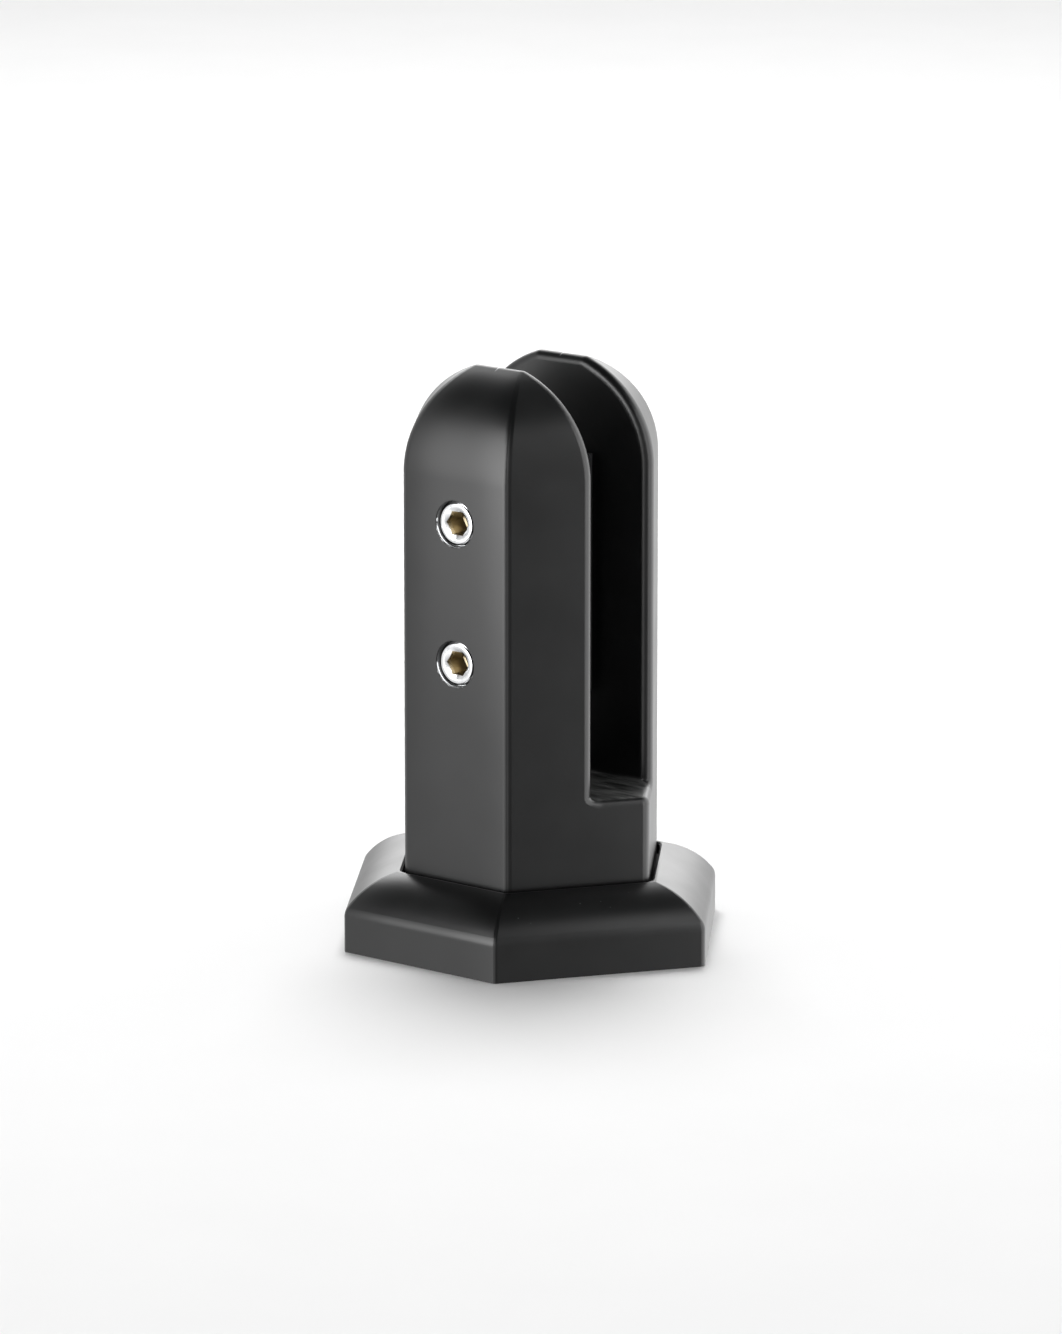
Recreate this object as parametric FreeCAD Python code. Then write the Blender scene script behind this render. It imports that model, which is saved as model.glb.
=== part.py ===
import FreeCAD, Part
import math
import os

V = FreeCAD.Vector

# Hexagonal post: slot along X, clamping faces square to Y, set screws in the -Y face, floor at z 0
BODY_HEIGHT = 150.0
BODY_WIDTH = 76.2
BODY_DEPTH = 62.6
FACE_WIDTH = 33.4
DOME_AXIS_OFFSET = 3.3
CORNER_RADIUS = 2.5

# Glass slot, open at the top and at both ends
SLOT_WIDTH = 21.8
SLOT_FLOOR_HEIGHT = 41.5
SLOT_FLOOR_RADIUS = 1.0
SLOT_EDGE_RADIUS = 2.2

# Bore for the floor anchor, with a head bore sunk into the slot floor
ANCHOR_BORE = 13.0
ANCHOR_HEAD_BORE = 20.0
ANCHOR_SEAT_HEIGHT = 27.0

# Domed cover over the foot
COVER_OVERHANG = 14.9
COVER_WALL_HEIGHT = 10.5
COVER_HEIGHT = 19.6
COVER_DOME_RADIUS = 21.0
COVER_CREASE_RADIUS = 4.0
COVER_CORNER_RADIUS = 1.5
COVER_RIM_LAND = 1.0
COVER_RIM_CHAMFER = 0.5
COVER_THICKNESS = 3.0
COVER_CLEARANCE = 0.9

# Set screws, dog point, hexagon socket
SCREW_DIAMETER = 12.0
SCREW_LENGTH = 25.0
SCREW_CLEARANCE = 0.05
SCREW_END_CHAMFER = 0.65
SCREW_POINT_DIAMETER = 8.5
SCREW_POINT_LENGTH = 1.7
SCREW_RECESS = 0.6
SOCKET_FLATS = 6.0
SOCKET_DEPTH = 7.0
HOLE_CHAMFER = 0.15
UPPER_SCREW_HEIGHT = 112.6
LOWER_SCREW_HEIGHT = 76.4

# Pressure plate on the screw points, rubber pads either side of the glass
PLATE_WIDTH = 22.0
PLATE_HEIGHT = 62.0
PLATE_THICKNESS = 3.0
PLATE_CORNER_RADIUS = 3.0
PLATE_DIMPLE_DEPTH = 1.2
PLATE_DIMPLE_CLEARANCE = 0.4
PAD_THICKNESS = 2.0

BODY = (BODY_WIDTH, BODY_DEPTH, FACE_WIDTH)
FAR = 4 * (BODY_WIDTH + COVER_OVERHANG)


def flank_angle(plan):
    width, depth, face = plan
    return math.atan2(width - face, depth)


def grown(plan, grow):
    # the plan with all its faces moved out by grow
    turn = flank_angle(plan)
    width = plan[0] + 2 * grow / math.cos(turn)
    depth = plan[1] + 2 * grow
    return width, depth, width - depth * math.tan(turn)


def on_all_faces(plan, section):
    # solid whose six faces all follow one upright section, meeting on mitres
    turn = flank_angle(plan)
    front = plan[1] / 2
    flank = plan[0] / 2 * math.cos(turn)
    solid = None
    for apothem, angle in ((front, math.pi / 2), (flank, turn), (flank, -turn)):
        prism = section(apothem).extrude(V(0, FAR, 0))
        prism.translate(V(0, -FAR / 2, 0))
        prism.rotate(V(0, 0, 0), V(0, 0, 1), math.degrees(angle))
        solid = prism if solid is None else solid.common(prism)
    return solid.removeSplitter()


def symmetric_face(half):
    # closes one half outline, base to top, with its mirror image
    other = [edge.mirror(V(0, 0, 0), V(1, 0, 0)) for edge in half]
    base = half[0].Vertexes[0].Point
    top = half[-1].Vertexes[-1].Point
    closing = [
        Part.makeLine(V(-base.x, 0, base.z), base),
        Part.makeLine(top, V(-top.x, 0, top.z)),
    ]
    return Part.Face(Part.Wire(Part.__sortEdges__(half + other + closing)))


def arc_about(centre, radius, start, end):
    # arc in the XZ plane between two points of a circle, the short way
    a = math.atan2(start.z - centre.z, start.x - centre.x)
    b = math.atan2(end.z - centre.z, end.x - centre.x)
    middle = (a + b) / 2
    over = centre + V(radius * math.cos(middle), 0, radius * math.sin(middle))
    return Part.Arc(start, over, end).toShape()


def middle(edge):
    return edge.valueAt((edge.FirstParameter + edge.LastParameter) / 2)


def away(shell, point):
    return shell.distToShape(Part.Vertex(point))[0]


def climbing(edge):
    return abs(edge.Vertexes[0].Z - edge.Vertexes[-1].Z) > 1


def hexagon_prism(plan, bottom, top, radius):
    half_width, half_depth, half_face = [size / 2 for size in plan]
    points = [
        V(-half_face, -half_depth, bottom),
        V(half_face, -half_depth, bottom),
        V(half_width, 0, bottom),
        V(half_face, half_depth, bottom),
        V(-half_face, half_depth, bottom),
        V(-half_width, 0, bottom),
    ]
    prism = Part.Face(Part.makePolygon(points + points[:1])).extrude(V(0, 0, top - bottom))
    return prism.makeFillet(radius, [e for e in prism.Edges if climbing(e)])


def cylinder_y(diameter, y0, y1, height):
    return Part.makeCylinder(diameter / 2, y1 - y0, V(0, y0, height), V(0, 1, 0))


def cone_y(start_diameter, end_diameter, y0, y1, height):
    return Part.makeCone(start_diameter / 2, end_diameter / 2, y1 - y0, V(0, y0, height), V(0, 1, 0))


# Post with a dome of six rolled faces meeting on mitres, level inside the slot
half_slot = SLOT_WIDTH / 2
dome_radius = BODY_DEPTH / 2 - DOME_AXIS_OFFSET
edge_centre = half_slot + SLOT_EDGE_RADIUS - DOME_AXIS_OFFSET
spring = BODY_HEIGHT - SLOT_EDGE_RADIUS - math.sqrt((dome_radius - SLOT_EDGE_RADIUS) ** 2 - edge_centre ** 2)


def post_section(apothem):
    centre = V(apothem - dome_radius, 0, spring)
    foot = V(apothem, 0, 0)
    start = V(apothem, 0, spring)
    inside = half_slot / 2
    end = V(inside, 0, spring + math.sqrt(dome_radius ** 2 - (inside - centre.x) ** 2))
    return symmetric_face([Part.makeLine(foot, start), arc_about(centre, dome_radius, start, end)])


post = on_all_faces(BODY, post_section)
slot = Part.makeBox(FAR, SLOT_WIDTH, BODY_HEIGHT, V(-FAR / 2, -half_slot, SLOT_FLOOR_HEIGHT))
floor_edges = [
    e for e in slot.Edges
    if abs(middle(e).z - SLOT_FLOOR_HEIGHT) < 0.01 and abs(middle(e).x) < 0.01
]
slot = slot.makeFillet(SLOT_FLOOR_RADIUS, floor_edges)
body = post.cut(slot)
slot_skin = slot.Shells[0]
post_skin = post.Shells[0]
corners = [e for e in body.Edges if climbing(e) and away(slot_skin, middle(e)) > 0.01]
body = body.makeFillet(CORNER_RADIUS, corners)
mouth = [
    e for e in body.Edges
    if away(slot_skin, middle(e)) < 0.01 and away(post_skin, middle(e)) < CORNER_RADIUS
]
body = body.makeFillet(SLOT_EDGE_RADIUS, mouth)

# Anchor bore through the foot, and its head bore from the slot floor
body = body.cut(Part.makeCylinder(ANCHOR_BORE / 2, BODY_HEIGHT))
head_bore = Part.makeCylinder(ANCHOR_HEAD_BORE / 2, BODY_HEIGHT, V(0, 0, ANCHOR_SEAT_HEIGHT))
body = body.cut(head_bore)

# Tapped holes through the front leaf, mouths lightly chamfered
front_face = -BODY_DEPTH / 2
hole_mouth = SCREW_DIAMETER + 2 * HOLE_CHAMFER
for height in (UPPER_SCREW_HEIGHT, LOWER_SCREW_HEIGHT):
    body = body.cut(cylinder_y(SCREW_DIAMETER, front_face - 1, 0, height))
    body = body.cut(cone_y(hole_mouth, SCREW_DIAMETER, front_face, front_face + HOLE_CHAMFER, height))


# Cover: upright wall, soft crease, dome falling away from a level rim round the post
cover_plan = grown(BODY, COVER_OVERHANG)
rim_reach = COVER_OVERHANG - COVER_CLEARANCE - COVER_RIM_LAND
half_chord = V(-rim_reach, 0, COVER_HEIGHT - COVER_WALL_HEIGHT) / 2
lean = math.sqrt(COVER_DOME_RADIUS ** 2 - half_chord.Length ** 2) / half_chord.Length
dome_centre = V(0, 0, COVER_WALL_HEIGHT) + half_chord + V(-half_chord.z * lean, 0, half_chord.x * lean)


def on_dome(centre, radius, x):
    return V(x, 0, centre.z + math.sqrt(radius ** 2 - (x - centre.x) ** 2))


def cover_outside(apothem):
    centre = dome_centre + V(apothem, 0, 0)
    crease = on_dome(centre, COVER_DOME_RADIUS - COVER_CREASE_RADIUS, apothem - COVER_CREASE_RADIUS)
    wall_top = V(apothem, 0, crease.z)
    run_out = (crease - centre).normalize() * COVER_DOME_RADIUS + centre
    return symmetric_face([
        Part.makeLine(V(apothem, 0, 0), wall_top),
        arc_about(crease, COVER_CREASE_RADIUS, wall_top, run_out),
        arc_about(centre, COVER_DOME_RADIUS, run_out, V(apothem - rim_reach, 0, COVER_HEIGHT)),
    ])


def cover_inside(apothem):
    centre = dome_centre + V(apothem, 0, 0)
    radius = COVER_DOME_RADIUS - COVER_THICKNESS
    start = on_dome(centre, radius, apothem - COVER_THICKNESS)
    end = on_dome(centre, radius, apothem - rim_reach)
    return symmetric_face([Part.makeLine(V(start.x, 0, -1), start), arc_about(centre, radius, start, end)])


cover = on_all_faces(cover_plan, cover_outside)
cover = cover.makeFillet(COVER_CORNER_RADIUS, [e for e in cover.Edges if climbing(e)])
collar = hexagon_prism(grown(BODY, COVER_CLEARANCE), -1, BODY_HEIGHT, CORNER_RADIUS + COVER_CLEARANCE)
cover = cover.cut(collar)
collar_skin = collar.Shells[0]
rim = [
    e for e in cover.Edges
    if away(collar_skin, middle(e)) < 0.01 and abs(middle(e).z - COVER_HEIGHT) < 0.01
]
cover = cover.makeChamfer(COVER_RIM_CHAMFER, rim)
cover = cover.cut(on_all_faces(cover_plan, cover_inside))


# Set screw: chamfered end with a hexagon socket, dog point at the other
def set_screw(height):
    diameter = SCREW_DIAMETER - 2 * SCREW_CLEARANCE
    start = front_face + SCREW_RECESS
    end = start + SCREW_LENGTH
    shoulder = end - SCREW_POINT_LENGTH
    face_diameter = diameter - 2 * SCREW_END_CHAMFER
    screw = cone_y(face_diameter, diameter, start, start + SCREW_END_CHAMFER, height)
    screw = screw.fuse(cylinder_y(diameter, start + SCREW_END_CHAMFER, shoulder, height))
    screw = screw.fuse(cylinder_y(SCREW_POINT_DIAMETER, shoulder, end, height))
    across_corners = SOCKET_FLATS / math.cos(math.radians(30))
    points = []
    for k in range(7):
        angle = math.radians(60 * k)
        x = across_corners / 2 * math.cos(angle)
        z = across_corners / 2 * math.sin(angle)
        points.append(V(x, start, height + z))
    socket = Part.Face(Part.makePolygon(points)).extrude(V(0, SOCKET_DEPTH, 0))
    return screw.cut(socket).removeSplitter()


upper_set_screw = set_screw(UPPER_SCREW_HEIGHT)
lower_set_screw = set_screw(LOWER_SCREW_HEIGHT)


# Plate and pads share one outline, centred between the screws
def slab(y0, thickness):
    middle_height = (UPPER_SCREW_HEIGHT + LOWER_SCREW_HEIGHT) / 2
    corner = V(-PLATE_WIDTH / 2, y0, middle_height - PLATE_HEIGHT / 2)
    box = Part.makeBox(PLATE_WIDTH, thickness, PLATE_HEIGHT, corner)
    across = [e for e in box.Edges if abs(e.Vertexes[0].Y - e.Vertexes[1].Y) > thickness / 2]
    return box.makeFillet(PLATE_CORNER_RADIUS, across)


screw_tip = front_face + SCREW_RECESS + SCREW_LENGTH
plate_back = screw_tip - PLATE_DIMPLE_DEPTH
plate_front = plate_back + PLATE_THICKNESS
clamp_plate = slab(plate_back, PLATE_THICKNESS)
dimple = SCREW_POINT_DIAMETER + 2 * PLATE_DIMPLE_CLEARANCE
for height in (UPPER_SCREW_HEIGHT, LOWER_SCREW_HEIGHT):
    clamp_plate = clamp_plate.cut(cylinder_y(dimple, plate_back, screw_tip, height))
clamp_pad = slab(plate_front, PAD_THICKNESS)
fixed_pad = slab(half_slot - PAD_THICKNESS, PAD_THICKNESS)

os.makedirs("parts", exist_ok=True)
body.exportStep("parts/spigot_body.step")
cover.exportStep("parts/base_cover.step")
upper_set_screw.exportStep("parts/upper_set_screw.step")
lower_set_screw.exportStep("parts/lower_set_screw.step")
clamp_plate.exportStep("parts/clamp_plate.step")
clamp_pad.exportStep("parts/clamp_pad.step")
fixed_pad.exportStep("parts/fixed_pad.step")
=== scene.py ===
import math

import bmesh
import bpy
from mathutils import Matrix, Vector


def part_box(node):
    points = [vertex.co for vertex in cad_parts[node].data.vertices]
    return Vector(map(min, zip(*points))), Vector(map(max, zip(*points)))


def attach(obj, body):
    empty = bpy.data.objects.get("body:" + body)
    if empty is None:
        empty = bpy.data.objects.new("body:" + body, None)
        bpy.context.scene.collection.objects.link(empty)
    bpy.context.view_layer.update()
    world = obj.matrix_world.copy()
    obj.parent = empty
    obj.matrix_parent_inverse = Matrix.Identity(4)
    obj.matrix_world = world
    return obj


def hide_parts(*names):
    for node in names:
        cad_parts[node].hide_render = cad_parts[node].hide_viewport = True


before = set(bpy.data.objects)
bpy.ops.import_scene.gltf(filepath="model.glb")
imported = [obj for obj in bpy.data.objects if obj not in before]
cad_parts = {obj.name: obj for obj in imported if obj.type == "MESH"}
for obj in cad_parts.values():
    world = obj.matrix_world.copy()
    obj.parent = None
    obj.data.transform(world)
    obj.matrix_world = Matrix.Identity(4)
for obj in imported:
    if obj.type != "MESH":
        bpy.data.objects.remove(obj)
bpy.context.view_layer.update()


# Post: the upright hexagon with the glass slot, its six faces rolled over into one crown.
# It is cast in aluminium, blasted and powder coated satin black.
# After coating it is drilled and tapped from the front, which bares the metal at the hole mouths.

FRONT_WIDTH = 0.0334
HOLE_RADIUS = 0.006
SLOT_FLOOR = 0.0415
post_low, post_high = [Vector(corner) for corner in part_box("spigot_body")]
fixed_low, fixed_high = [Vector(corner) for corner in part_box("fixed_pad")]
screw_low, screw_high = [Vector(corner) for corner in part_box("upper_set_screw")]
hole_heights = [sum(corner[2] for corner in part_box(name)) / 2
                for name in ("upper_set_screw", "lower_set_screw")]


def linear(code):
    """Turn an sRGB hex colour into linear red, green, blue and alpha."""
    channels = [int(code[i:i + 2], 16) / 255 for i in (1, 3, 5)]
    return [c / 12.92 if c <= 0.04045 else ((c + 0.055) / 1.055) ** 2.4 for c in channels] + [1.0]


def add_node(tree, kind, inputs=None, **settings):
    """Add a node with its settings; an input is a value, or a socket to link from."""
    made = tree.nodes.new(kind)
    for name, value in settings.items():
        setattr(made, name, value)
    for key, value in (inputs or {}).items():
        if isinstance(value, bpy.types.NodeSocket):
            tree.links.new(value, made.inputs[key])
        else:
            made.inputs[key].default_value = value
    return made


def new_material(name):
    """Make an empty node material and give back it, its tree and its Object coordinates."""
    material = bpy.data.materials.new(name)
    material.use_nodes = True
    material.node_tree.nodes.clear()
    place = add_node(material.node_tree, "ShaderNodeTexCoord").outputs["Object"]
    return material, material.node_tree, place


def mottle(tree, pattern, dark, light, smooth, dull):
    """Colour and roughness that drift together, over a noise that stays mostly between 0.3 and 0.7."""
    colour = add_node(tree, "ShaderNodeMix", {0: pattern, 6: linear(dark), 7: linear(light)},
                      data_type="RGBA")
    rough = add_node(tree, "ShaderNodeMapRange", {"Value": pattern, 1: 0.3, 2: 0.7, 3: smooth, 4: dull})
    return colour.outputs[2], rough.outputs["Result"]


# Satin black polyester powder coat: a baked film that flows out smooth but for a faint ripple,
# so lights show in it as soft patches and nearly all of the tone is gloss, not colour.
# The ripple of such a film is 1 to 2 mm long; the pigment cloud is slower, about 12 mm.
COAT_CLOUD = 0.012
COAT_RIPPLE = 0.0016
RIPPLE_HEIGHT = 0.00002
COAT_IOR = 1.5

# Post and cover are linished before coating, so their front and back fall away to the upright edges,
# by a share of half the face, and up the dome to the mitres, which all lie at one slant from the middle.
# The fall fades out between two shares of the depth, before it reaches the slot.
EDGE_FALL = 0.036
EDGE_STEEPNESS = 4.0
FADE_INNER = 0.36
FADE_OUTER = 0.8


def powder_coat(tree, place, half_face, front):
    """Colour, roughness and normal of the coat on a hexagon: half its front's width, and the front's y."""
    cloud = add_node(tree, "ShaderNodeTexNoise", {"Vector": place, "Scale": 1 / COAT_CLOUD, "Detail": 3.0})
    colour, rough = mottle(tree, cloud.outputs["Fac"], "#050607", "#0b0c0d", 0.31, 0.35)
    across = add_node(tree, "ShaderNodeSeparateXYZ", {"Vector": place}).outputs
    slant = add_node(tree, "ShaderNodeMath", {0: across["X"], 1: across["Y"]}, operation="DIVIDE")
    slant = add_node(tree, "ShaderNodeMath", {0: slant.outputs[0]}, operation="ABSOLUTE")
    reach = add_node(tree, "ShaderNodeMapRange", {"Value": slant.outputs[0], 1: 0.0, 2: half_face / front})
    steep = add_node(tree, "ShaderNodeMath", {0: reach.outputs["Result"], 1: EDGE_STEEPNESS},
                     operation="POWER")
    depth = add_node(tree, "ShaderNodeMath", {0: across["Y"]}, operation="ABSOLUTE")
    inner = add_node(tree, "ShaderNodeMapRange", {"Value": depth.outputs[0], 1: FADE_INNER * front,
                                                  2: FADE_OUTER * front, 3: 1.0, 4: 0.0},
                     interpolation_type="SMOOTHSTEP")
    fall = add_node(tree, "ShaderNodeMix", {0: inner.outputs["Result"], 2: steep.outputs[0], 3: 1.0},
                    data_type="FLOAT")
    swell = add_node(tree, "ShaderNodeBump", {"Height": fall.outputs[0], "Strength": 1.0,
                                              "Distance": EDGE_FALL * half_face}, invert=True)
    ripple = add_node(tree, "ShaderNodeTexNoise", {"Vector": place, "Scale": 1 / COAT_RIPPLE, "Detail": 1.0})
    bump = add_node(tree, "ShaderNodeBump", {"Height": ripple.outputs["Fac"], "Strength": 0.25,
                                             "Distance": RIPPLE_HEIGHT, "Normal": swell.outputs["Normal"]})
    return colour, rough, bump.outputs["Normal"]


coat, tree, place = new_material("satin_black_powder_coat_on_post")
colour, rough, normal = powder_coat(tree, place, FRONT_WIDTH / 2, post_high.y)
across = add_node(tree, "ShaderNodeSeparateXYZ", {"Vector": place}).outputs


def off_axis(tree, place, x, height):
    """Distance from the line parallel to Y through an x and a height."""
    flat = add_node(tree, "ShaderNodeVectorMath", {0: place, 1: (1.0, 0.0, 1.0)}, operation="MULTIPLY")
    gap = add_node(tree, "ShaderNodeVectorMath", {0: flat.outputs[0], 1: (x, 0.0, height)},
                   operation="DISTANCE")
    return gap.outputs["Value"]


def overlap(tree, masks):
    """One mask that is 1 only where all of the given masks are."""
    whole = masks[0]
    for mask in masks[1:]:
        whole = add_node(tree, "ShaderNodeMath", {0: whole, 1: mask}, operation="MULTIPLY").outputs[0]
    return whole


def lay_over(tree, mask, colour, rough, other_colour, other_rough):
    """Colour and roughness with another pair laid over them where a mask is 1."""
    mixed = add_node(tree, "ShaderNodeMix", {0: mask, 6: colour, 7: linear(other_colour)}, data_type="RGBA")
    dulled = add_node(tree, "ShaderNodeMix", {0: mask, 2: rough, 3: other_rough}, data_type="FLOAT")
    return mixed.outputs[2], dulled.outputs[0]


# Bare cast aluminium where the drill and tap cut through the film: a bright ragged crescent below and
# left of each hole. The edge of the film breaks in chips about 0.5 mm long.
CHIP_NOISE = 0.0011
CHIP_REACH = 0.0007
CRESCENT_X = -0.0002
CRESCENT_DROP = 0.0003
CRESCENT_INNER = 0.00012
CRESCENT_OUTER = 0.0002
FRONT_SKIN = 0.0005
chips = add_node(tree, "ShaderNodeTexNoise", {"Vector": place, "Scale": 1 / CHIP_NOISE, "Detail": 3.0})
rings = []
for height in hole_heights:
    gap = off_axis(tree, place, CRESCENT_X, height - CRESCENT_DROP)
    ragged = add_node(tree, "ShaderNodeMath", {0: chips.outputs["Fac"], 1: CHIP_REACH, 2: gap},
                      operation="MULTIPLY_ADD")
    ring = add_node(tree, "ShaderNodeMapRange", {"Value": ragged.outputs[0], 1: HOLE_RADIUS + CRESCENT_INNER,
                                                 2: HOLE_RADIUS + CRESCENT_OUTER, 3: 1.0, 4: 0.0})
    rings.append(ring.outputs["Result"])
front = add_node(tree, "ShaderNodeMath", {0: across["Y"], 1: post_low.y + FRONT_SKIN}, operation="LESS_THAN")
either = add_node(tree, "ShaderNodeMath", {0: rings[0], 1: rings[1]}, operation="MAXIMUM")
crescents = overlap(tree, [either.outputs[0], front.outputs[0]])

# The mould's halves meet on the middle of each crown and leave a rubbed tick there, 0.3 mm wide.
TICK_INNER = 0.0001
TICK_OUTER = 0.0002
TICK_FOOT = 0.0007
TICK_HEAD = 0.0003
TICK_STRENGTH = 0.5
aside = add_node(tree, "ShaderNodeMath", {0: across["X"]}, operation="ABSOLUTE")
seam = add_node(tree, "ShaderNodeMapRange", {"Value": aside.outputs[0], 1: TICK_INNER, 2: TICK_OUTER,
                                             3: 1.0, 4: 0.0})
crest = add_node(tree, "ShaderNodeMapRange", {"Value": across["Z"], 1: post_high.z - TICK_FOOT,
                                              2: post_high.z - TICK_HEAD, 3: 0.0, 4: TICK_STRENGTH})
tick = overlap(tree, [seam.outputs["Result"], crest.outputs["Result"]])
bare = add_node(tree, "ShaderNodeMath", {0: crescents, 1: tick}, operation="MAXIMUM").outputs[0]
colour, rough = lay_over(tree, bare, colour, rough, "#c9cacb", 0.28)

# Pale, dull streaks about 1.5 mm wide and 10 mm long on the slot's floor: scuffs from glass set down there,
# painted paler to stand in for the soft sheen on that floor. They stop on the roundings at the walls and at
# the mouth.
SCUFF_AND_SHEEN_WIDTH = 0.0015
SCUFF_AND_SHEEN_LENGTH = 0.010
WALL_SLACK = 0.0001
WALL_ROUND_FOOT = 0.0002
WALL_ROUND_HEAD = 0.0015
MOUTH_ROUND_FOOT = 0.0004
MOUTH_ROUND_HEAD = 0.0001
stretch = add_node(tree, "ShaderNodeMapping", {
    "Vector": place, "Scale": (1 / SCUFF_AND_SHEEN_LENGTH, 1 / SCUFF_AND_SHEEN_WIDTH, 1.0)})
streak = add_node(tree, "ShaderNodeTexNoise", {"Vector": stretch.outputs[0], "Scale": 1.0, "Detail": 3.0})
pale = add_node(tree, "ShaderNodeMapRange", {"Value": streak.outputs["Fac"], 1: 0.38, 2: 0.66,
                                             3: 0.15, 4: 1.0})
depth = add_node(tree, "ShaderNodeMath", {0: across["Y"]}, operation="ABSOLUTE")
between = add_node(tree, "ShaderNodeMath", {0: depth.outputs[0], 1: fixed_high.y + WALL_SLACK},
                   operation="LESS_THAN")
below = add_node(tree, "ShaderNodeMapRange", {"Value": across["Z"], 1: SLOT_FLOOR + WALL_ROUND_FOOT,
                                              2: SLOT_FLOOR + WALL_ROUND_HEAD, 3: 1.0, 4: 0.0})
above = add_node(tree, "ShaderNodeMapRange", {"Value": across["Z"], 1: SLOT_FLOOR - MOUTH_ROUND_FOOT,
                                              2: SLOT_FLOOR - MOUTH_ROUND_HEAD, 3: 0.0, 4: 1.0})
scuff_and_sheen = overlap(tree, [pale.outputs["Result"], between.outputs[0], below.outputs["Result"],
                       above.outputs["Result"]])
# The streaks' paler colour is partly painted sheen, partly scuffing.
colour, rough = lay_over(tree, scuff_and_sheen, colour, rough, "#565756", 0.6)


def end_in_surface(tree, inputs):
    """Close a material with one Principled surface."""
    surface = add_node(tree, "ShaderNodeBsdfPrincipled", inputs)
    add_node(tree, "ShaderNodeOutputMaterial", {"Surface": surface.outputs[0]})


end_in_surface(tree, {"Base Color": colour, "Metallic": bare, "Roughness": rough, "IOR": COAT_IOR,
                      "Normal": normal})
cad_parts["spigot_body"].data.materials[0] = coat


# Tapped threads: the M12 coarse female thread in each of the post's two holes, cut in bare aluminium.
# Each is a ridge wound round the bore, half a pitch away from the ridge of the screw that runs in it.

THREAD_PITCH = 0.00175
THREAD_LEAD_IN = 0.001
FEMALE_DEPTH = 0.0007
FEMALE_FOOT = 0.0013
CREST_FLAT = 0.00025
STEPS_PER_TURN = 48
RUN_OUT = 0.03
RUN_OUT_SCALE = 0.05
female_start = screw_low.y + THREAD_LEAD_IN
female_turns = (-fixed_high.y - female_start - FEMALE_FOOT / 2) / THREAD_PITCH


def named_inputs(tree, sizes):
    """Give a geometry tree a geometry input, one named input for each size, and a geometry output."""
    tree.interface.new_socket("Geometry", in_out="INPUT", socket_type="NodeSocketGeometry")
    for name, kind in sizes:
        tree.interface.new_socket(name, in_out="INPUT", socket_type="NodeSocket" + kind)
    tree.interface.new_socket("Geometry", in_out="OUTPUT", socket_type="NodeSocketGeometry")
    return add_node(tree, "NodeGroupInput").outputs


def end_in_mesh(tree, grown, start, material):
    """Close a geometry tree: join what it grew to the piece it started from, and give it its material."""
    joined = add_node(tree, "GeometryNodeJoinGeometry", {0: grown})
    tree.links.new(start, joined.inputs[0])
    real = add_node(tree, "GeometryNodeRealizeInstances", {0: joined.outputs[0]})
    coated = add_node(tree, "GeometryNodeSetMaterial", {"Geometry": real.outputs[0], "Material": material})
    add_node(tree, "NodeGroupOutput", {0: coated.outputs[0]})


def grow(piece, tree, sizes):
    """Run a geometry tree on a piece and keep the result as the piece's plain mesh."""
    modifier = piece.modifiers.new(tree.name, "NODES")
    modifier.node_group = tree
    for item in tree.interface.items_tree:
        if item.in_out == "INPUT" and item.name in sizes:
            modifier[item.identifier] = sizes[item.name]
    evaluated = piece.evaluated_get(bpy.context.evaluated_depsgraph_get())
    mesh = bpy.data.meshes.new_from_object(evaluated)
    piece.modifiers.remove(modifier)
    piece.data = mesh
    mesh.name = piece.name


def new_piece(name, build):
    """Make an object at the origin from a bmesh that the given function fills."""
    shape = bmesh.new()
    build(shape)
    mesh = bpy.data.meshes.new(name)
    shape.to_mesh(mesh)
    shape.free()
    piece = bpy.data.objects.new(name, mesh)
    bpy.context.scene.collection.objects.link(piece)
    return piece


def thread_tree(name, material):
    """A tree that winds a ridge of trapezoid section along a helix about an axis parallel to Y."""
    tree = bpy.data.node_groups.new(name, "GeometryNodeTree")
    size = named_inputs(tree, [("Base Radius", "Float"), ("Turns", "Float"), ("Length", "Float"),
                               ("Height", "Float"), ("Middle", "Float"), ("Inner Width", "Float"),
                               ("Outer Width", "Float"), ("Start", "Vector")])
    helix = add_node(tree, "GeometryNodeCurveSpiral", {
        "Resolution": STEPS_PER_TURN, "Rotations": size["Turns"], "Start Radius": size["Base Radius"],
        "End Radius": size["Base Radius"], "Height": size["Length"], "Reverse": True})
    upright = add_node(tree, "GeometryNodeSetCurveNormal", {"Curve": helix.outputs[0]}, mode="Z_UP")
    section = add_node(tree, "GeometryNodeCurvePrimitiveQuadrilateral", {
        "Height": size["Height"], "Bottom Width": size["Inner Width"], "Top Width": size["Outer Width"],
        "Offset": 0.0}, mode="TRAPEZOID")
    # The section is drawn upright, so it is turned until its height points away from the axis.
    shift = add_node(tree, "ShaderNodeCombineXYZ", {"X": size["Middle"]})
    turned = add_node(tree, "GeometryNodeTransform", {
        "Geometry": section.outputs[0], "Translation": shift.outputs[0],
        "Rotation": (0.0, 0.0, math.radians(-90))})
    # The ridge runs out towards both ends, over a share of its length.
    along = add_node(tree, "GeometryNodeSplineParameter").outputs["Factor"]
    rest = add_node(tree, "ShaderNodeMath", {0: 1.0, 1: along}, operation="SUBTRACT")
    nearest = add_node(tree, "ShaderNodeMath", {0: along, 1: rest.outputs[0]}, operation="MINIMUM")
    run_out = add_node(tree, "ShaderNodeMapRange", {"Value": nearest.outputs[0], 1: 0.0, 2: RUN_OUT,
                                                    3: RUN_OUT_SCALE, 4: 1.0})
    ridge = add_node(tree, "GeometryNodeCurveToMesh", {
        "Curve": upright.outputs[0], "Profile Curve": turned.outputs[0],
        "Scale": run_out.outputs["Result"], "Fill Caps": True})
    laid = add_node(tree, "GeometryNodeTransform", {
        "Geometry": ridge.outputs[0], "Translation": size["Start"],
        "Rotation": (math.radians(-90), 0.0, 0.0)})
    end_in_mesh(tree, laid.outputs[0], size["Geometry"], material)
    return tree


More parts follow.
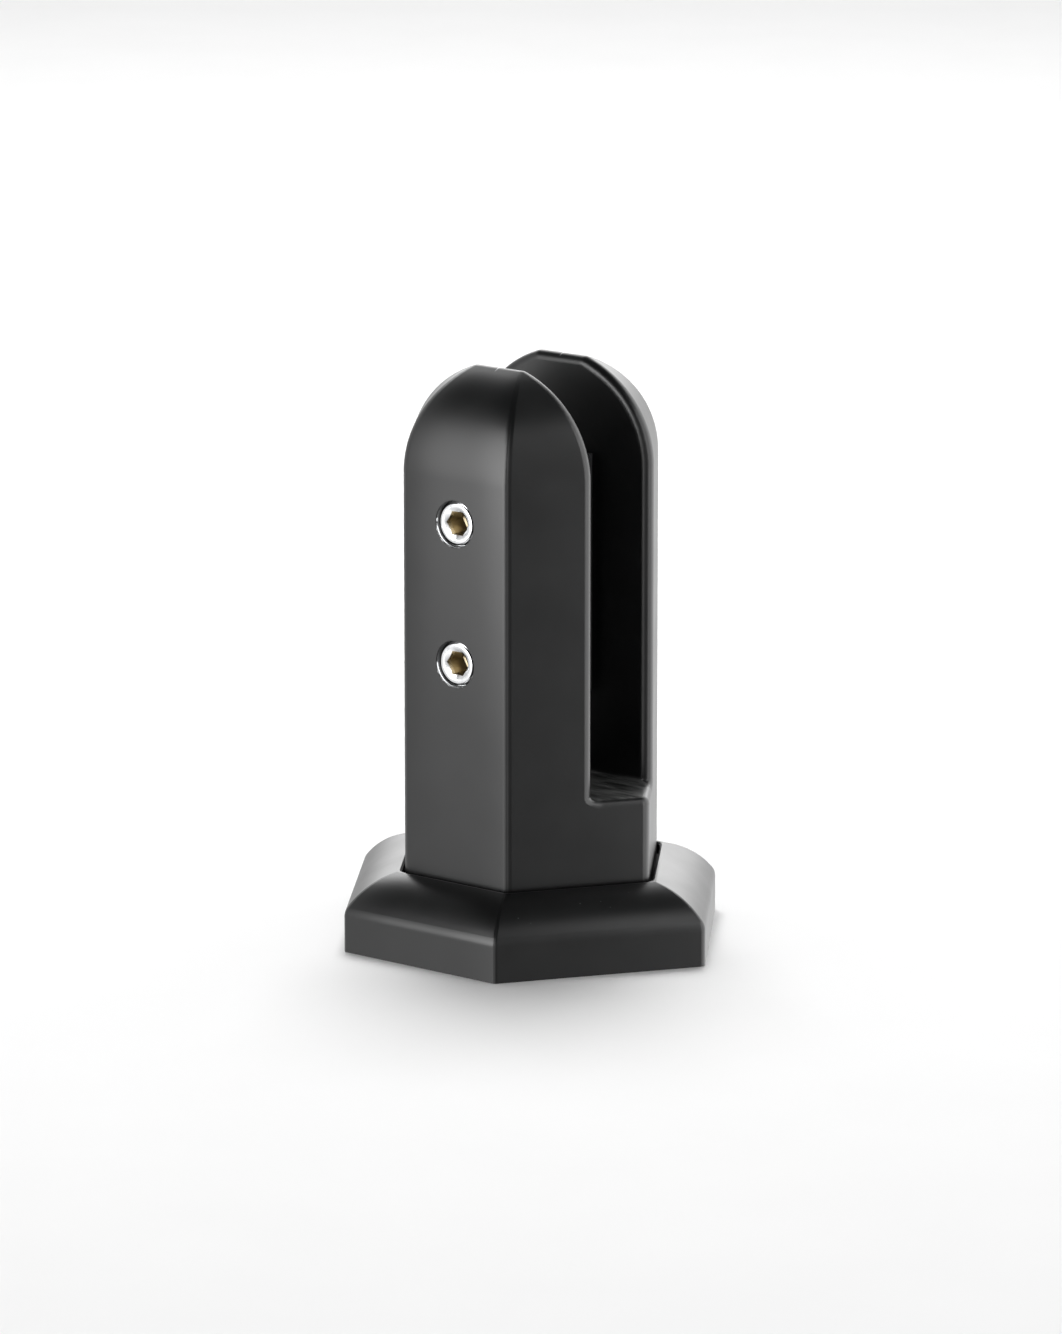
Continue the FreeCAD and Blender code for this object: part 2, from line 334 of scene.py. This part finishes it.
# Tapped aluminium: bright, machined, with the scoring that a tap leaves round the bore, about 1 mm long.
TAP_SCORE = 0.0009
tapped, tree, place = new_material("bare_tapped_aluminium")
score = add_node(tree, "ShaderNodeTexNoise", {"Vector": place, "Scale": 1 / TAP_SCORE, "Detail": 4.0})
colour, rough = mottle(tree, score.outputs["Fac"], "#9fa1a3", "#cfd0d1", 0.25, 0.42)
end_in_surface(tree, {"Base Color": colour, "Metallic": 1.0, "Roughness": rough})

female = thread_tree("tapped thread", tapped)
for name, height in zip(("upper", "lower"), hole_heights):
    piece = new_piece(name + "_tapped_thread", lambda shape: None)
    grow(piece, female, {
        "Base Radius": HOLE_RADIUS, "Turns": female_turns, "Length": female_turns * THREAD_PITCH,
        "Height": FEMALE_DEPTH, "Middle": -FEMALE_DEPTH / 2, "Inner Width": CREST_FLAT,
        "Outer Width": FEMALE_FOOT, "Start": (0.0, female_start, height)})
    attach(piece, "post")


# Fixed pad: the rubber strip glued to the back wall of the slot, ribbed across on the side that grips.
# It is cut from extruded black EPDM, so its back is flat and its ribs are half round.

PAD_CORNER = 0.003
PAD_EDGE = 0.0002
SHARP_BEND = 1.0
RIB_RADIUS = 0.0007
RIB_PITCH = 0.002
RIB_SIDES = 16
RIB_SHORTER = 0.001
pad_size = fixed_high - fixed_low


def pad_strip(back, grip):
    """Fill a bmesh with the flat of a pad: its back at the given y, its ribs to come on the grip side."""
    def build(shape):
        depth = pad_size.y - RIB_RADIUS
        for vert in bmesh.ops.create_cube(shape, size=1.0)["verts"]:
            vert.co = (vert.co.x * pad_size.x, back + grip * depth * (vert.co.y + 0.5),
                       fixed_low.z + pad_size.z * (vert.co.z + 0.5))
        corners = [e for e in shape.edges if abs(e.verts[0].co.y - e.verts[1].co.y) > depth / 2]
        bmesh.ops.bevel(shape, geom=corners, offset=PAD_CORNER, segments=6, affect="EDGES", profile=0.5)
        rim = [e for e in shape.edges if abs(e.calc_face_angle(0.0)) > SHARP_BEND]
        bmesh.ops.bevel(shape, geom=rim, offset=PAD_EDGE, segments=2, affect="EDGES", profile=0.5)
        bmesh.ops.recalc_face_normals(shape, faces=shape.faces)
    return build


# EPDM rubber, extruded and cut: a matt black with a grey bloom in patches of about 6 mm, fine talc marks
# of 0.4 mm, and no clear gloss.
RUBBER_BLOOM = 0.006
TALC_GRIT = 0.0004
GRIT_HEIGHT = 0.00004
rubber, tree, place = new_material("black_epdm_rubber")
bloom = add_node(tree, "ShaderNodeTexNoise", {"Vector": place, "Scale": 1 / RUBBER_BLOOM, "Detail": 4.0})
colour = add_node(tree, "ShaderNodeMix", {0: bloom.outputs["Fac"], 6: linear("#141414"),
                                          7: linear("#26272a")}, data_type="RGBA")
grit = add_node(tree, "ShaderNodeTexNoise", {"Vector": place, "Scale": 1 / TALC_GRIT, "Detail": 2.0})
rough = add_node(tree, "ShaderNodeMapRange", {"Value": grit.outputs["Fac"], 1: 0.3, 2: 0.7, 3: 0.62, 4: 0.8})
bump = add_node(tree, "ShaderNodeBump", {"Height": grit.outputs["Fac"], "Strength": 0.4,
                                         "Distance": GRIT_HEIGHT})
end_in_surface(tree, {"Base Color": colour.outputs[2], "Roughness": rough.outputs["Result"], "IOR": 1.52,
                      "Normal": bump.outputs["Normal"]})

# The ribs are bars sunk to half their depth, one at each point of an upright line.
ribbed = bpy.data.node_groups.new("ribbed pad", "GeometryNodeTree")
size = named_inputs(ribbed, [("Rib Count", "Int"), ("Rib Radius", "Float"), ("Rib Length", "Float"),
                             ("First Rib", "Vector"), ("Rib Step", "Vector")])
line = add_node(ribbed, "GeometryNodeMeshLine", {
    "Count": size["Rib Count"], "Start Location": size["First Rib"], "Offset": size["Rib Step"]})
bar = add_node(ribbed, "GeometryNodeMeshCylinder", {
    "Vertices": RIB_SIDES, "Radius": size["Rib Radius"], "Depth": size["Rib Length"]})
ribs = add_node(ribbed, "GeometryNodeInstanceOnPoints", {
    "Points": line.outputs[0], "Instance": bar.outputs["Mesh"], "Rotation": (0.0, math.radians(90), 0.0)})
end_in_mesh(ribbed, ribs.outputs[0], size["Geometry"], rubber)


def shade_by_angle(piece, degrees):
    """Shade a piece smooth but for edges sharper than the given angle."""
    piece.data.polygons.foreach_set("use_smooth", [True] * len(piece.data.polygons))
    piece.data.set_sharp_from_angle(angle=math.radians(degrees))


def ribbed_pad(name, back, grip):
    """Make one pad: the strip and its ribs."""
    piece = new_piece(name, pad_strip(back, grip))
    count = int((pad_size.z - 2 * PAD_CORNER) / RIB_PITCH) + 1
    first = (fixed_low.z + fixed_high.z - (count - 1) * RIB_PITCH) / 2
    grow(piece, ribbed, {
        "Rib Count": count, "Rib Radius": RIB_RADIUS, "Rib Length": pad_size.x - RIB_SHORTER,
        "First Rib": (0.0, back + grip * (pad_size.y - RIB_RADIUS), first),
        "Rib Step": (0.0, 0.0, RIB_PITCH)})
    shade_by_angle(piece, 40)
    return piece


fixed_pad = ribbed_pad("fixed_rubber_pad", fixed_high.y, -1)
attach(fixed_pad, "post")
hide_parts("fixed_pad")


# Base cover: the loose six-sided skirt that drops over the post and hides where it meets the floor.
# It is pressed in aluminium, rolled over to the post like the crown, and coated with the same powder.

SKIRT_FRONT_WIDTH = 0.049
cover_high = Vector(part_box("base_cover")[1])

skirt, tree, place = new_material("satin_black_powder_coat_on_cover")
colour, rough, normal = powder_coat(tree, place, SKIRT_FRONT_WIDTH / 2, cover_high.y)

# A little pale dust lies on the roll of the front right side, close to the post, in marks of 0.2 to 0.4 mm.
# A mark's size is a share of the spacing, and half of the places hold none.
DUST_SPACING = 0.0026
DUST_CORE = 0.04
DUST_RIM = 0.07
DUST_SHARE = 0.5
FRONT_RIGHT = (0.825, -0.565, 0.0)
DUST_OUT_FROM = 0.0355
DUST_OUT_FULL = 0.037
DUST_UP_FROM = 0.0135
DUST_UP_FULL = 0.0165
spread = add_node(tree, "ShaderNodeTexVoronoi", {"Vector": place, "Scale": 1 / DUST_SPACING,
                                                 "Randomness": 1.0})
near = add_node(tree, "ShaderNodeMapRange", {"Value": spread.outputs["Distance"], 1: DUST_CORE, 2: DUST_RIM,
                                             3: 1.0, 4: 0.0})
pick = add_node(tree, "ShaderNodeSeparateColor", {0: spread.outputs["Color"]})
few = add_node(tree, "ShaderNodeMath", {0: pick.outputs[0], 1: DUST_SHARE}, operation="GREATER_THAN")
side = add_node(tree, "ShaderNodeVectorMath", {0: place, 1: FRONT_RIGHT}, operation="DOT_PRODUCT")
lies = add_node(tree, "ShaderNodeMapRange", {"Value": side.outputs["Value"], 1: DUST_OUT_FROM,
                                             2: DUST_OUT_FULL, 3: 0.0, 4: 1.0})
across = add_node(tree, "ShaderNodeSeparateXYZ", {"Vector": place}).outputs
high = add_node(tree, "ShaderNodeMapRange", {"Value": across["Z"], 1: DUST_UP_FROM, 2: DUST_UP_FULL,
                                             3: 0.0, 4: 1.0})
dust = overlap(tree, [near.outputs["Result"], few.outputs[0], lies.outputs["Result"],
                      high.outputs["Result"]])
colour, rough = lay_over(tree, dust, colour, rough, "#6f7473", 0.8)
end_in_surface(tree, {"Base Color": colour, "Roughness": rough, "IOR": COAT_IOR, "Normal": normal})
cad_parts["base_cover"].data.materials[0] = skirt


# Clamp plate: the flat steel bar in the slot that both set screws press, dimpled for their points.
# It is laser cut from cold-rolled stainless sheet, so its faces carry the fine grain of the mill.

# 2B sheet: a dull silver with streaks along the rolling direction, drawn here about 0.3 mm wide to show.
GRAIN_WIDTH = 0.0003
GRAIN_LENGTH = 0.012
GRAIN_HEIGHT = 0.00001
plate_steel, tree, place = new_material("mill_finish_stainless_steel")
stretch = add_node(tree, "ShaderNodeMapping", {
    "Vector": place, "Scale": (1 / GRAIN_WIDTH, 1 / GRAIN_WIDTH, 1 / GRAIN_LENGTH)})
grain = add_node(tree, "ShaderNodeTexNoise", {"Vector": stretch.outputs[0], "Scale": 1.0, "Detail": 3.0})
colour, rough = mottle(tree, grain.outputs["Fac"], "#8d8f91", "#b3b5b6", 0.32, 0.46)
bump = add_node(tree, "ShaderNodeBump", {"Height": grain.outputs["Fac"], "Strength": 0.2,
                                         "Distance": GRAIN_HEIGHT})
end_in_surface(tree, {"Base Color": colour, "Metallic": 1.0, "Roughness": rough,
                      "Normal": bump.outputs["Normal"]})
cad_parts["clamp_plate"].data.materials[0] = plate_steel


# Clamp pad: the second ribbed rubber strip, glued to the plate's back, which meets the glass.
# It is cut from the same extrusion as the fixed pad.

clamp_pad = ribbed_pad("clamp_rubber_pad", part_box("clamp_pad")[0][1], 1)
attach(clamp_pad, "clamp")
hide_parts("clamp_pad")


# Set screws: two M12 socket set screws with dog points, run in from the front to press the plate.
# They are cold-headed and rolled in steel and bright zinc plated; the key socket is painted a dull brown
# gold, a painted warm reflection and painted shade.

SCREW_SIDES = 72
POINT_RADIUS = 0.00425
POINT_LENGTH = 0.0017
POINT_CHAMFER = 0.0004
POINT_NECK = 0.0005
THREAD_ROOT = 0.00488
THREAD_SINK = 0.00005
CREST_SLACK = 0.00002
MALE_FOOT = 0.0013
FACE_RADIUS = 0.00515
FACE_COLLAR = 0.0007
SOCKET_FLATS = 0.006
SOCKET_MOUTH = 0.004
SOCKET_DEPTH = 0.007
MOUTH_SLOPE = 0.7
DRILL_STEP = 0.0005
DRILL_TIP = 0.0009
# Points on the roundings of the face's rim and of the socket's mouth: how far in, how far back.
RIM_ROUND = ((0.0, 0.00025), (0.00008, 0.00003), (0.00015, 0.0))
MOUTH_ROUND = ((-0.00005, 0.0), (0.0, 0.00002))
thread_crest = (screw_high.x - screw_low.x) / 2 - CREST_SLACK
thread_height = thread_crest - THREAD_ROOT + THREAD_SINK
male_start = female_start - THREAD_PITCH / 2
male_turns = (screw_high.y - POINT_LENGTH - MALE_FOOT - male_start) / THREAD_PITCH


def screw_blank(height):
    """Fill a bmesh with a screw turned to its thread root, with its socket, chamfers and point."""
    def build(shape):
        rings = []

        def ring(where):
            row = []
            for i in range(SCREW_SIDES):
                turn = 2 * math.pi * i / SCREW_SIDES
                radius, y = where(turn)
                row.append(shape.verts.new((radius * math.cos(turn), y, height - radius * math.sin(turn))))
            rings.append(row)

        def hexagon(turn):
            return SOCKET_FLATS / 2 / math.cos((turn % (math.pi / 3)) - math.pi / 6)

        face = screw_low.y
        end = screw_high.y
        outline = [(POINT_RADIUS - POINT_CHAMFER, end), (POINT_RADIUS, end - POINT_CHAMFER),
                   (POINT_RADIUS, end - POINT_LENGTH), (THREAD_ROOT, end - POINT_LENGTH - POINT_NECK),
                   (THREAD_ROOT, face + FACE_COLLAR)]
        outline += [(FACE_RADIUS - inward, face + back) for inward, back in RIM_ROUND]
        outline += [(SOCKET_MOUTH - inward, face + back) for inward, back in MOUTH_ROUND]
        for radius, y in outline:
            ring(lambda turn, r=radius, at=y: (r, at))
        ring(lambda turn: (hexagon(turn), face + (SOCKET_MOUTH - hexagon(turn)) * MOUTH_SLOPE))
        ring(lambda turn: (hexagon(turn), face + SOCKET_DEPTH))
        ring(lambda turn: (hexagon(turn) * 0.5, face + SOCKET_DEPTH + DRILL_STEP))
        for one, two in zip(rings, rings[1:]):
            for i in range(SCREW_SIDES):
                j = (i + 1) % SCREW_SIDES
                shape.faces.new((one[i], one[j], two[j], two[i]))
        for row, y in ((rings[0], end), (rings[-1], face + SOCKET_DEPTH + DRILL_TIP)):
            middle = shape.verts.new((0.0, y, height))
            for i in range(SCREW_SIDES):
                shape.faces.new((row[(i + 1) % SCREW_SIDES], row[i], middle))
        bmesh.ops.recalc_face_normals(shape, faces=shape.faces)
    return build


# Bright zinc on steel: a mirror-like silver with faint cloudy blooms of about 2 mm. Down the socket the
# wall is painted a dull brown gold, a painted warm reflection and painted shade deeper in.
ZINC_BLOOM = 0.0022
WARM_REFLECTION_RADIUS = 0.0037
WARM_REFLECTION_FROM = 0.0004
WARM_REFLECTION_FULL = 0.0022
zinc, tree, place = new_material("bright_zinc_plated_steel")
bloom = add_node(tree, "ShaderNodeTexNoise", {"Vector": place, "Scale": 1 / ZINC_BLOOM, "Detail": 3.0})
colour, rough = mottle(tree, bloom.outputs["Fac"], "#a9abae", "#e0e0e0", 0.14, 0.24)
sockets = []
for height in hole_heights:
    inside = add_node(tree, "ShaderNodeMath", {0: off_axis(tree, place, 0.0, height), 1: WARM_REFLECTION_RADIUS},
                      operation="LESS_THAN")
    sockets.append(inside.outputs[0])
across = add_node(tree, "ShaderNodeSeparateXYZ", {"Vector": place}).outputs
deep = add_node(tree, "ShaderNodeMapRange", {"Value": across["Y"], 1: screw_low.y + WARM_REFLECTION_FROM,
                                             2: screw_low.y + WARM_REFLECTION_FULL, 3: 0.0, 4: 1.0})
either = add_node(tree, "ShaderNodeMath", {0: sockets[0], 1: sockets[1]}, operation="MAXIMUM")
painted_reflection_and_shade = overlap(tree, [either.outputs[0], deep.outputs["Result"]])
# Painted warm reflection and painted shade: the socket wall turns a dull brown gold from just below the face.
colour, rough = lay_over(tree, painted_reflection_and_shade, colour, rough, "#a39880", 0.3)
end_in_surface(tree, {"Base Color": colour, "Metallic": 1.0, "Roughness": rough})

male = thread_tree("screw thread", zinc)
for name, height in zip(("upper", "lower"), hole_heights):
    screw = new_piece(name + "_socket_set_screw", screw_blank(height))
    grow(screw, male, {
        "Base Radius": THREAD_ROOT - THREAD_SINK, "Turns": male_turns, "Length": male_turns * THREAD_PITCH,
        "Height": thread_height, "Middle": thread_height / 2, "Inner Width": MALE_FOOT,
        "Outer Width": CREST_FLAT, "Start": (0.0, male_start, height)})
    shade_by_angle(screw, 30)
    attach(screw, name + "_screw")
    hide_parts(name + "_set_screw")


# Studio: a wide white paper floor that runs out of the picture, lit from a white ceiling and from behind.
# A softbox stands close in front and to the left, a narrow one on the right.
# The room is brightest behind, and dim to the front right, where the camera stands.

FLOOR_REACH = 14.0
PAPER_FIBRE = 0.05
floor = new_piece("studio_floor", lambda shape: bmesh.ops.create_grid(
    shape, x_segments=1, y_segments=1, size=FLOOR_REACH))
paper, tree, place = new_material("matt_white_paper")
fibre = add_node(tree, "ShaderNodeTexNoise", {"Vector": place, "Scale": 1 / PAPER_FIBRE, "Detail": 2.0})
colour = add_node(tree, "ShaderNodeMix", {0: fibre.outputs["Fac"], 6: linear("#ededed"),
                                          7: linear("#f0f0f0")}, data_type="RGBA")
surface = add_node(tree, "ShaderNodeBsdfDiffuse", {"Color": colour.outputs[2]})
add_node(tree, "ShaderNodeOutputMaterial", {"Surface": surface.outputs[0]})
floor.data.materials.append(paper)
floor.visible_glossy = False


def softbox(name, place, aim, width, height, power):
    """Add a rectangular light at a place, turned to face a point."""
    lamp = bpy.data.lights.new(name, "AREA")
    lamp.shape = "RECTANGLE"
    lamp.size = width
    lamp.size_y = height
    lamp.energy = power
    light = bpy.data.objects.new(name, lamp)
    light.location = place
    light.rotation_euler = (Vector(aim) - Vector(place)).to_track_quat("-Z", "Y").to_euler()
    light.visible_camera = False
    bpy.context.scene.collection.objects.link(light)
    return light


ceiling = softbox("white_ceiling", (-1.2, 1.5, 3.0), (-1.2, 1.5, 0.0), 10.0, 10.0, 222.0)
backlight = softbox("floor_light_behind", (-0.525, 0.667, 1.81), (0.0, 0.0, 0.0), 1.0, 1.0, 33.0)
for box in (ceiling, backlight):
    box.visible_glossy = False
key = softbox("front_left_softbox", (-0.065, -0.33, 0.19), (0.0, -0.03, 0.12), 0.30, 0.36, 1.55)
strip = softbox("right_strip_light", (0.20, 0.0, 0.12), (0.03, 0.0, 0.09), 0.06, 0.36, 0.18)
for box in (key, strip):
    box.visible_diffuse = False

# The room as the coat mirrors it: brightness round the compass (degrees from the front, to the right
# positive), fading overhead, sooner in front than behind, with a brighter patch of wall behind.
ROOM = ((-180, 2.0), (-160, 1.3), (-150, 1.1), (-110, 0.8), (-75, 0.95), (-42, 1.25), (-30, 1.5), (-20, 2.2),
        (-5, 2.3), (12, 1.6), (30, 0.6), (50, 0.3), (75, 0.37), (95, 1.4), (118, 3.0), (140, 3.3), (165, 3.0),
        (180, 2.0))
ROOM_STRENGTH = 4.0
OVERHEAD = (0.0, -0.2, 0.98)
FADE_FROM = 0.49
FADE_TO = 0.8
OVERHEAD_LEFT = 0.01
PATCH_BEHIND = (-0.53, 0.74, 0.42)
PATCH_RIM = 0.85
PATCH_CORE = 0.99
PATCH_BRIGHT = 0.65

world = bpy.data.worlds.new("studio_room")
world.use_nodes = True
world.cycles_visibility.diffuse = False
bpy.context.scene.world = world
tree = world.node_tree
tree.nodes.clear()
toward = add_node(tree, "ShaderNodeTexCoord").outputs["Generated"]
heading = add_node(tree, "ShaderNodeSeparateXYZ", {"Vector": toward}).outputs
ahead = add_node(tree, "ShaderNodeMath", {0: heading["Y"], 1: -1.0}, operation="MULTIPLY")
compass = add_node(tree, "ShaderNodeMath", {0: heading["X"], 1: ahead.outputs[0]}, operation="ARCTAN2")
share = add_node(tree, "ShaderNodeMapRange", {"Value": compass.outputs[0], 1: -math.pi, 2: math.pi})
walls = add_node(tree, "ShaderNodeValToRGB", {"Fac": share.outputs["Result"]})
walls.color_ramp.interpolation = "EASE"
stops = walls.color_ramp.elements
# A new ramp has two stops already, which take the first two brightnesses.
for number, (degrees, bright) in enumerate(ROOM):
    spot = degrees / 360 + 0.5
    stop = stops[number] if number < 2 else stops.new(spot)
    stop.position = spot
    stop.color = [bright / ROOM_STRENGTH] * 3 + [1.0]
lean = add_node(tree, "ShaderNodeVectorMath", {0: toward, 1: OVERHEAD}, operation="DOT_PRODUCT")
fade = add_node(tree, "ShaderNodeMapRange", {"Value": lean.outputs["Value"], 1: FADE_FROM, 2: FADE_TO,
                                             3: 1.0, 4: OVERHEAD_LEFT}, interpolation_type="SMOOTHSTEP")
behind = add_node(tree, "ShaderNodeVectorMath", {0: toward, 1: PATCH_BEHIND}, operation="DOT_PRODUCT")
patch = add_node(tree, "ShaderNodeMapRange", {"Value": behind.outputs["Value"], 1: PATCH_RIM, 2: PATCH_CORE,
                                              3: 0.0, 4: PATCH_BRIGHT}, interpolation_type="SMOOTHSTEP")
dimmed = add_node(tree, "ShaderNodeVectorMath", {0: walls.outputs["Color"], "Scale": fade.outputs["Result"]},
                  operation="SCALE")
seen = add_node(tree, "ShaderNodeVectorMath", {0: dimmed.outputs[0], 1: patch.outputs["Result"]},
                operation="ADD")
sky = add_node(tree, "ShaderNodeBackground", {"Color": seen.outputs[0], "Strength": ROOM_STRENGTH})
add_node(tree, "ShaderNodeOutputWorld", {"Surface": sky.outputs[0]})


# Camera: a long lens from the front right, above the crown and tilted down, as the photograph is taken.
# It stands 1.9 m away, so upright edges stay nearly parallel in the picture.

AZIMUTH = math.radians(38.38)
ELEVATION = math.radians(13.21)
DISTANCE = 1.8785
AIM_HEIGHT = 0.06993
AIM_LEFT = 0.0002
FOCAL_MM = 197.7
SENSOR_MM = 36.0

to_right = Vector((math.cos(AZIMUTH), math.sin(AZIMUTH), 0.0))
to_camera = Vector((math.sin(AZIMUTH) * math.cos(ELEVATION), -math.cos(AZIMUTH) * math.cos(ELEVATION),
                    math.sin(ELEVATION)))
target = Vector((0.0, 0.0, AIM_HEIGHT)) - AIM_LEFT * to_right
lens = bpy.data.cameras.new("camera")
lens.lens = FOCAL_MM
lens.sensor_width = SENSOR_MM
lens.clip_start = 0.05
lens.clip_end = 100.0
camera = bpy.data.objects.new("camera", lens)
camera.location = target + DISTANCE * to_camera
camera.rotation_euler = (-to_camera).to_track_quat("-Z", "Y").to_euler()
bpy.context.scene.collection.objects.link(camera)
bpy.context.scene.camera = camera
bpy.context.scene.view_settings.view_transform = "Standard"
